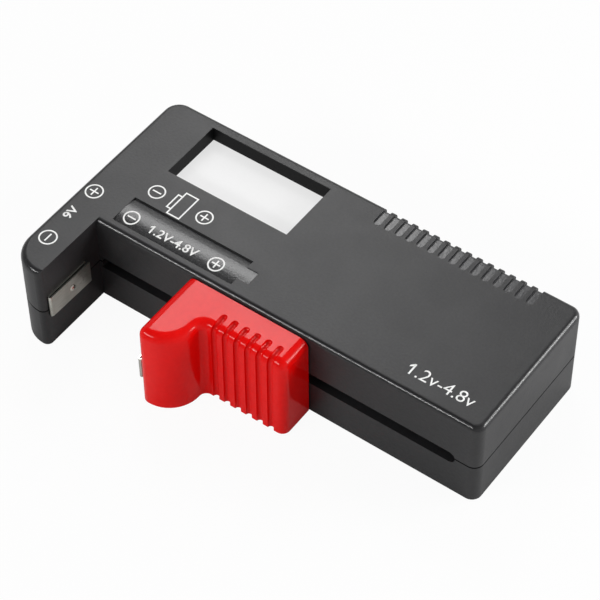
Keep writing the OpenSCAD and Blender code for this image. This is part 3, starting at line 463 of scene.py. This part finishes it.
def printed_mark(name, draw):
    """A layer of ink: what draw puts in the plan, cut into narrow strips, laid on the case's
    upper face and given its thickness."""
    shape = bmesh.new()
    draw(shape)
    low = min(v.co.y for v in shape.verts)
    high = max(v.co.y for v in shape.verts)
    for i in range(1, int((high - low) / drape_step) + 1):
        bmesh.ops.bisect_plane(
            shape, geom=shape.verts[:] + shape.edges[:] + shape.faces[:], dist=1e-8,
            plane_co=(0, low + i * drape_step, 0), plane_no=(0, 1, 0),
        )
    lower = shape.faces[:]
    upper = [f for f in bmesh.ops.extrude_face_region(shape, geom=lower)["geom"]
             if isinstance(f, bmesh.types.BMVert)]
    raised = set(upper)
    for v in shape.verts:
        level = face_height(v.co.x, v.co.y) + (ink_above if v in raised else -ink_below)
        v.co = (case_low[0] + v.co.x, case_high[1] - v.co.y, level)
    bmesh.ops.recalc_face_normals(shape, faces=shape.faces)
    mesh = bpy.data.meshes.new(name)
    shape.to_mesh(mesh)
    shape.free()
    mesh.materials.append(white_ink)
    piece = bpy.data.objects.new(name, mesh)
    bpy.context.scene.collection.objects.link(piece)
    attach(piece, "housing")


def block_signs(shape):
    polarity_sign(shape, 4.05 * mm, 50.37 * mm, False, 2.15 * mm, True)
    polarity_sign(shape, 3.60 * mm, 33.88 * mm, True, 2.15 * mm)
    numerals(shape, "9V", 2.2 * mm, 4.45 * mm, 39.9 * mm, 43.6 * mm, True, 0.02)


def button_cell_signs(shape):
    polarity_sign(shape, 15.05 * mm, 25.95 * mm, False)
    polarity_sign(shape, 28.29 * mm, 25.91 * mm, True)
    cell_sign(shape, 20.45 * mm, 24.1 * mm, 22.25 * mm, 29.75 * mm, 1.15 * mm, 0.62)


def round_cell_signs(shape):
    polarity_sign(shape, 15.24 * mm, 35.17 * mm, False, 1.95 * mm)
    polarity_sign(shape, 38.57 * mm, 35.22 * mm, True, 1.95 * mm)
    numerals(shape, "1.2V-4.8V", 20.9 * mm, 33.5 * mm, 34.2 * mm, 36.45 * mm)


def range_numerals(shape):
    numerals(shape, "1.2v-4.8v", 89.2 * mm, 104.8 * mm, 33.1 * mm, 36.2 * mm, weight=-0.004)


printed_mark("block_signs", block_signs)
printed_mark("button_cell_signs", button_cell_signs)
printed_mark("round_cell_signs", round_cell_signs)
printed_mark("range_numerals", range_numerals)


# ---------------------------------------------------------------------------
# Display: two glasses with the crystal between them, under a polarising film
# and over a matt silver one, clipped in a white frame on the board. A rubber
# strip with conducting layers joins the glass's ledge to the board.
# ---------------------------------------------------------------------------
def film_finish(name, colour, shade, rough, fleck):
    """Thin plastic film: nearly even, with fine flecks in its adhesive."""
    made, tree, shader = new_finish(name)
    place = add(tree, "ShaderNodeTexCoord").outputs["Object"]
    flecks = cloud(tree, place, fleck, 2.0)
    broad = cloud(tree, place, 12 * mm, 1.0)
    blend = add(tree, "ShaderNodeMix", {"Factor": 0.4, "A": broad, "B": flecks}).outputs["Result"]
    tree.links.new(ramp(tree, blend, (0.3, shade), (0.6, colour)), shader.inputs["Base Color"])
    tree.links.new(spread(tree, flecks, rough, rough + 0.1), shader.inputs["Roughness"])
    tree.links.new(bump(tree, flecks, 0.002 * mm), shader.inputs["Normal"])
    shader.inputs["Specular IOR Level"].default_value = 0.3
    return made, shader


painted_glow = 0.67  # painted glow: the polariser emits light so it looks evenly bright down in the well
polariser, polariser_shader = film_finish(
    "polariser", (0.23, 0.23, 0.23), (0.21, 0.21, 0.21), 0.58, 0.5 * mm
)
# Painted glow: the polariser emits white light though it is no lamp.
polariser_shader.inputs["Emission Color"].default_value = (1.0, 1.0, 1.0, 1.0)
polariser_shader.inputs["Emission Strength"].default_value = painted_glow
finish_node("lcd_polariser", polariser, 0.03 * mm)

silver_film, silver_shader = film_finish(
    "silver_film", (0.66, 0.66, 0.63), (0.60, 0.60, 0.57), 0.45, 0.15 * mm
)
silver_shader.inputs["Metallic"].default_value = 0.8
finish_node("lcd_reflector", silver_film, 0.03 * mm)


def glass_finish():
    """Clear float glass, a little green at its cut edges."""
    made, tree, shader = new_finish("float_glass")
    place = add(tree, "ShaderNodeTexCoord").outputs["Object"]
    wave = cloud(tree, place, 15 * mm, 1.0)
    colour = ramp(tree, wave, (0.3, (0.80, 0.90, 0.86)), (0.7, (0.86, 0.94, 0.91)))
    tree.links.new(colour, shader.inputs["Base Color"])
    tree.links.new(spread(tree, wave, 0.02, 0.05), shader.inputs["Roughness"])
    tree.links.new(bump(tree, wave, 0.003 * mm), shader.inputs["Normal"])
    shader.inputs["Transmission Weight"].default_value = 1.0
    shader.inputs["IOR"].default_value = 1.52
    return made


finish_node("lcd_glass", glass_finish(), 0.05 * mm)

frame_white = moulded_plastic(
    "frame_white", (0.74, 0.74, 0.70), (0.80, 0.80, 0.77), 0.5, 0.4, 0.3 * mm, 0.006 * mm
)[0]
finish_node("lcd_frame", frame_white, 0.08 * mm)


wave_bands = 3.18  # bands of a wave texture per unit of its scale


def layered_rubber():
    """Grey silicone with thin black conducting layers across it, 0.18 mm apart."""
    made, tree, shader = new_finish("layered_rubber")
    place = add(tree, "ShaderNodeTexCoord").outputs["Object"]
    layers = add(
        tree, "ShaderNodeTexWave",
        {"Vector": place, "Scale": 1 / (0.18 * mm) / wave_bands, "Distortion": 0.3},
        wave_type="BANDS", bands_direction="X",
    ).outputs["Fac"]
    colour = ramp(tree, layers, (0.4, (0.03, 0.03, 0.03)), (0.6, (0.22, 0.22, 0.23)))
    tree.links.new(colour, shader.inputs["Base Color"])
    tree.links.new(spread(tree, layers, 0.75, 0.6), shader.inputs["Roughness"])
    tree.links.new(bump(tree, layers, 0.01 * mm), shader.inputs["Normal"])
    return made


finish_node("zebra_strip", layered_rubber(), 0.1 * mm)


# ---------------------------------------------------------------------------
# Circuit board: glass-fibre laminate with copper tracks under green lacquer,
# screwed up under the top shell with its parts on the lower side.
# ---------------------------------------------------------------------------
def board_finish():
    """Green lacquer over a weave of glass, with raised tracks where cells of a square pattern meet."""
    made, tree, shader = new_finish("board_lacquer")
    place = add(tree, "ShaderNodeTexCoord").outputs["Object"]
    weave = add(
        tree, "ShaderNodeTexBrick",
        {
            "Vector": place, "Scale": 1.0, "Brick Width": 0.5 * mm, "Row Height": 0.5 * mm,
            "Mortar Size": 0.04 * mm,
        },
    ).outputs["Fac"]
    tracks = add(
        tree, "ShaderNodeTexVoronoi", {"Vector": place, "Scale": 1 / (2.6 * mm), "Randomness": 0.75},
        feature="DISTANCE_TO_EDGE",
    ).outputs["Distance"]
    copper = spread(tree, tracks, 1.0, 0.0, 0.06, 0.09)
    lacquer = ramp(tree, copper, (0.0, (0.012, 0.10, 0.035)), (1.0, (0.03, 0.22, 0.07)))
    threads = add(tree, "ShaderNodeMix", {0: weave, 6: lacquer, 7: (0.02, 0.14, 0.05, 1)}, data_type="RGBA")
    tree.links.new(threads.outputs[2], shader.inputs["Base Color"])
    tree.links.new(spread(tree, cloud(tree, place, 3 * mm), 0.22, 0.38), shader.inputs["Roughness"])
    raised = bump(tree, copper, 0.03 * mm, bump(tree, weave, 0.003 * mm))
    tree.links.new(raised, shader.inputs["Normal"])
    shader.inputs["Coat Weight"].default_value = 0.4
    shader.inputs["Coat Roughness"].default_value = 0.15
    return made


finish_node("circuit_board", board_finish(), 0.05 * mm)


# ---------------------------------------------------------------------------
# Parts under the board: a blob of black resin over the controller, moulded
# chips, a ferrite coil, an aluminium can, a lacquered load resistor and rows
# of ceramic chips, all soldered to it.
# ---------------------------------------------------------------------------
resin = moulded_plastic(
    "set_resin", (0.010, 0.010, 0.011), (0.022, 0.022, 0.023), 0.32, 0.18, 0.8 * mm, 0.01 * mm, 0.04 * mm
)[0]
finish_node("controller_blob", resin)

package_black = moulded_plastic(
    "package_black", (0.014, 0.014, 0.015), (0.03, 0.03, 0.031), 0.62, 0.5, 0.08 * mm, 0.008 * mm
)[0]
for part in ("boost_chip", "rectifier_diode"):
    finish_node(part, package_black, 0.05 * mm)


def sintered(name, dark, light, rough, grain, depth):
    """Pressed and fired powder: specks, small pits and a dull skin."""
    made, tree, shader = new_finish(name)
    place = add(tree, "ShaderNodeTexCoord").outputs["Object"]
    pits = add(tree, "ShaderNodeTexVoronoi", {"Vector": place, "Scale": 1 / grain}).outputs["Distance"]
    speck = cloud(tree, place, grain, 3.0)
    tree.links.new(ramp(tree, speck, (0.3, dark), (0.7, light)), shader.inputs["Base Color"])
    tree.links.new(spread(tree, speck, rough - 0.1, rough + 0.1), shader.inputs["Roughness"])
    tree.links.new(bump(tree, pits, depth), shader.inputs["Normal"])
    return made


ferrite = sintered("ferrite", (0.05, 0.048, 0.045), (0.10, 0.095, 0.09), 0.6, 0.12 * mm, 0.01 * mm)
finish_node("boost_inductor", ferrite, 0.05 * mm)
chip_glaze = sintered("chip_glaze", (0.02, 0.02, 0.022), (0.05, 0.05, 0.052), 0.4, 0.1 * mm, 0.004 * mm)
finish_node("chip_resistors", chip_glaze, 0.04 * mm)
chip_ceramic = sintered("chip_ceramic", (0.34, 0.23, 0.12), (0.44, 0.31, 0.18), 0.5, 0.1 * mm, 0.004 * mm)
finish_node("chip_capacitors", chip_ceramic, 0.04 * mm)


def wound_wire():
    """Enamelled copper wire laid turn by turn, 0.22 mm thick."""
    made, tree, shader = new_finish("wound_wire")
    place = add(tree, "ShaderNodeTexCoord").outputs["Object"]
    turns = add(
        tree, "ShaderNodeTexWave",
        {"Vector": place, "Scale": 1 / (0.22 * mm) / wave_bands, "Distortion": 0.4},
        wave_type="BANDS", bands_direction="Z",
    ).outputs["Fac"]
    colour = ramp(tree, turns, (0.1, (0.20, 0.05, 0.015)), (0.6, (0.62, 0.22, 0.07)))
    tree.links.new(colour, shader.inputs["Base Color"])
    tree.links.new(spread(tree, turns, 0.5, 0.28), shader.inputs["Roughness"])
    tree.links.new(bump(tree, turns, 0.08 * mm), shader.inputs["Normal"])
    shader.inputs["Metallic"].default_value = 0.9
    return made


finish_node("inductor_winding", wound_wire())


def drawn_metal(name, colour, shade, rough, stretch, line, depth=0.002 * mm):
    """Rolled or drawn metal: fine lines along it, dull patches and a few darker stains."""
    made, tree, shader = new_finish(name)
    place = add(tree, "ShaderNodeTexCoord").outputs["Object"]
    drawn = add(tree, "ShaderNodeMapping", {"Vector": place, "Scale": stretch}).outputs["Vector"]
    lines = cloud(tree, drawn, line, 4.0)
    stain = cloud(tree, place, 2.5 * mm, 4.0, 0.8)
    blend = add(tree, "ShaderNodeMix", {"Factor": 0.45, "A": stain, "B": lines}).outputs["Result"]
    tree.links.new(ramp(tree, blend, (0.34, shade), (0.56, colour)), shader.inputs["Base Color"])
    tree.links.new(spread(tree, blend, rough + 0.08, rough - 0.06, 0.3, 0.7), shader.inputs["Roughness"])
    tree.links.new(bump(tree, lines, depth), shader.inputs["Normal"])
    shader.inputs["Metallic"].default_value = 1.0
    return made


can_metal = drawn_metal("can_metal", (0.78, 0.78, 0.79), (0.66, 0.66, 0.67), 0.3, (1, 1, 0.08), 0.15 * mm)
finish_node("storage_capacitor", can_metal, 0.25 * mm, rings=3)

lacquer = moulded_plastic(
    "resistor_lacquer", (0.08, 0.22, 0.26), (0.13, 0.31, 0.35), 0.3, 0.2, 0.5 * mm, 0.008 * mm, 0.03 * mm
)[0]
finish_node("load_resistor", lacquer, 0.08 * mm)

bright_solder = drawn_metal(
    "bright_solder", (0.74, 0.74, 0.75), (0.55, 0.55, 0.56), 0.22, (1, 1, 1), 0.3 * mm
)
finish_node("solder_joints", bright_solder, 0.05 * mm)


# ---------------------------------------------------------------------------
# Screws: zinc plated steel with cross slots. Four hold the case from below,
# the others the board, the carriage and the wiper.
# ---------------------------------------------------------------------------
zinc = drawn_metal(
    "zinc_steel", (0.66, 0.66, 0.66), (0.46, 0.46, 0.45), 0.34, (1, 1, 1), 0.25 * mm, 0.006 * mm
)
for screws in ("case_screws", "board_screws", "carriage_screws", "wiper_screws"):
    finish_node(screws, zinc, 0.06 * mm)


# ---------------------------------------------------------------------------
# Rail and contacts: strips stamped from nickel plated brass and spring steel.
# The arm's and the jaw's contacts are folded into hairpins with a dimple; two
# flat plates stand behind the windows in the left end.
# ---------------------------------------------------------------------------
rail_metal = drawn_metal(
    "rail_metal", (0.66, 0.62, 0.52), (0.50, 0.46, 0.36), 0.32, (0.06, 1, 1), 0.12 * mm
)
finish_node("contact_rail", rail_metal, 0.05 * mm)
rivet_brass = drawn_metal("rivet_brass", (0.70, 0.54, 0.24), (0.52, 0.38, 0.15), 0.3, (1, 1, 1), 0.3 * mm)
finish_node("rail_rivets", rivet_brass, 0.08 * mm)
nickel = drawn_metal("nickel_strip", (0.56, 0.56, 0.51), (0.42, 0.42, 0.37), 0.30, (1, 0.06, 1), 0.10 * mm)
for strip in (
    "arm_contact_base", "arm_contact_leaf", "slider_contact_base", "slider_contact_leaf",
    "side_contact_negative", "side_contact_positive",
):
    finish_node(strip, nickel, 0.05 * mm)


# ---------------------------------------------------------------------------
# Leads: thin stranded wire in coloured vinyl, from the contacts to the board.
# ---------------------------------------------------------------------------
lead_colours = {
    "arm_lead": ((0.012, 0.012, 0.012), (0.024, 0.024, 0.024)),
    "negative_lead": ((0.010, 0.022, 0.16), (0.018, 0.035, 0.24)),
    "positive_lead": ((0.34, 0.012, 0.012), (0.44, 0.02, 0.018)),
    "rail_lead": ((0.34, 0.012, 0.012), (0.44, 0.02, 0.018)),
}
for lead, (dark, light) in lead_colours.items():
    vinyl = moulded_plastic(
        lead + "_vinyl", dark, light, 0.42, 0.3, 0.2 * mm, 0.004 * mm, 0.01 * mm
    )[0]
    finish_node(lead, vinyl, angle=45)


# ---------------------------------------------------------------------------
# Slider: jaw and finger grip in one glossy red ABS moulding. Its tongue runs
# in the case's slot; behind it a carriage of natural acetal is screwed on,
# which carries the folded bronze wiper.
# ---------------------------------------------------------------------------
red_plastic, _, red_shader = moulded_plastic(
    "red_plastic", (0.70, 0.001, 0.001), (0.76, 0.003, 0.002), 0.21, 0.15, 0.5 * mm, 0.003 * mm, 0.03 * mm
)
red_shader.inputs["Specular IOR Level"].default_value = 0.18
finish_node("slider_jaw", red_plastic, 0.25 * mm, rings=3)

acetal, _, acetal_shader = moulded_plastic(
    "natural_acetal", (0.66, 0.64, 0.56), (0.74, 0.72, 0.65), 0.45, 0.34, 0.3 * mm, 0.004 * mm
)
acetal_shader.inputs["Subsurface Weight"].default_value = 0.15
acetal_shader.inputs["Subsurface Scale"].default_value = 1 * mm
finish_node("slider_carriage", acetal, 0.15 * mm)

bronze = drawn_metal("spring_bronze", (0.72, 0.44, 0.24), (0.52, 0.28, 0.13), 0.3, (0.06, 1, 1), 0.12 * mm)
finish_node("slider_wiper", bronze, 0.03 * mm)


# ---------------------------------------------------------------------------
# Floor and light: a white table top, a soft box behind the tester's left end,
# a small one over the table beyond its right end, two narrow ones that draw the
# lines along its front and right edges, and a pale surround that is brightest
# low down and at the back.
# ---------------------------------------------------------------------------
def white_floor():
    size = 3.0
    mesh = bpy.data.meshes.new("floor")
    mesh.from_pydata(
        [(-size, -size, 0), (size, -size, 0), (size, size, 0), (-size, size, 0)], [], [(0, 1, 2, 3)]
    )
    floor = bpy.data.objects.new("floor", mesh)
    bpy.context.scene.collection.objects.link(floor)
    made, tree, shader = new_finish("floor_white")
    place = add(tree, "ShaderNodeTexCoord").outputs["Object"]
    mottle = cloud(tree, place, 80 * mm)
    colour = ramp(tree, mottle, (0.3, (0.73, 0.73, 0.73)), (0.7, (0.75, 0.75, 0.75)))
    tree.links.new(colour, shader.inputs["Base Color"])
    shader.inputs["Roughness"].default_value = 0.9
    shader.inputs["Specular IOR Level"].default_value = 0.1
    rays = add(tree, "ShaderNodeLightPath").outputs
    seen_white, mirrored_white = 0.94, 0.06
    seen = calc(tree, "MULTIPLY", rays["Is Camera Ray"], seen_white)
    bounced = calc(tree, "MAXIMUM", rays["Is Glossy Ray"], rays["Is Transmission Ray"])
    mirrored = calc(tree, "MULTIPLY", bounced, mirrored_white)
    glow = add(tree, "ShaderNodeEmission", {"Color": (1, 1, 1, 1), "Strength": 1.0})
    mix = add(tree, "ShaderNodeMixShader", {"Fac": calc(tree, "MAXIMUM", seen, mirrored)})
    out = [n for n in tree.nodes if n.type == "OUTPUT_MATERIAL"][0]
    tree.links.new(shader.outputs["BSDF"], mix.inputs[1])
    tree.links.new(glow.outputs["Emission"], mix.inputs[2])
    tree.links.new(mix.outputs["Shader"], out.inputs["Surface"])
    mesh.materials.append(made)


white_floor()


def soft_box(name, towards, away, width, height, power, aim=(0, 0, 0.015)):
    """An area lamp at a distance in a direction from the tester, turned to face it."""
    light = bpy.data.lights.new(name, "AREA")
    light.shape = "RECTANGLE"
    light.size, light.size_y = width, height
    light.energy = power
    lamp = bpy.data.objects.new(name, light)
    bpy.context.scene.collection.objects.link(lamp)
    lamp.location = Vector(aim) + Vector(towards).normalized() * away
    lamp.rotation_mode = "QUATERNION"
    lamp.rotation_quaternion = (Vector(aim) - lamp.location).to_track_quat("-Z", "Y")
    return lamp


def direction(azimuth, elevation):
    """A unit vector from two angles in degrees: round from +X, and up from the floor."""
    a, e = math.radians(azimuth), math.radians(elevation)
    return (math.cos(a) * math.cos(e), math.sin(a) * math.cos(e), math.sin(e))


soft_box("key_light", direction(129.5, 48), away=0.8, width=0.24, height=0.24, power=1.45)
soft_box(
    "floor_light", (0.13, 0.10, 0.12), away=0.17, width=0.12, height=0.12, power=0.24,
    aim=(0.085, 0.055, 0.0),
)
soft_box("front_strip", (-0.387, -0.76, 0.52), away=0.8, width=0.5, height=0.03, power=3.4)
soft_box("right_strip", (0.76, 0.52, 0.387), away=0.8, width=0.5, height=0.03, power=1.7)

world = bpy.data.worlds.new("surroundings")
bpy.context.scene.world = world
world.use_nodes = True
sky_tree = world.node_tree
sky = sky_tree.nodes["Background"]
way = add(sky_tree, "ShaderNodeTexCoord").outputs["Generated"]
upward = add(sky_tree, "ShaderNodeSeparateXYZ", {"Vector": way})
pale = ramp(sky_tree, upward.outputs["Z"], (0.1, (1.0, 1.0, 1.0)), (0.85, (0.38, 0.38, 0.38)))
sky_tree.links.new(pale, sky.inputs["Color"])
facing = vector_calc(sky_tree, "DOT_PRODUCT", way, (0.6, 0.8, 0.0))
sky_tree.links.new(spread(sky_tree, facing, 0.35, 1.15, -1.0, 1.0), sky.inputs["Strength"])

bpy.context.scene.view_settings.view_transform = "Standard"
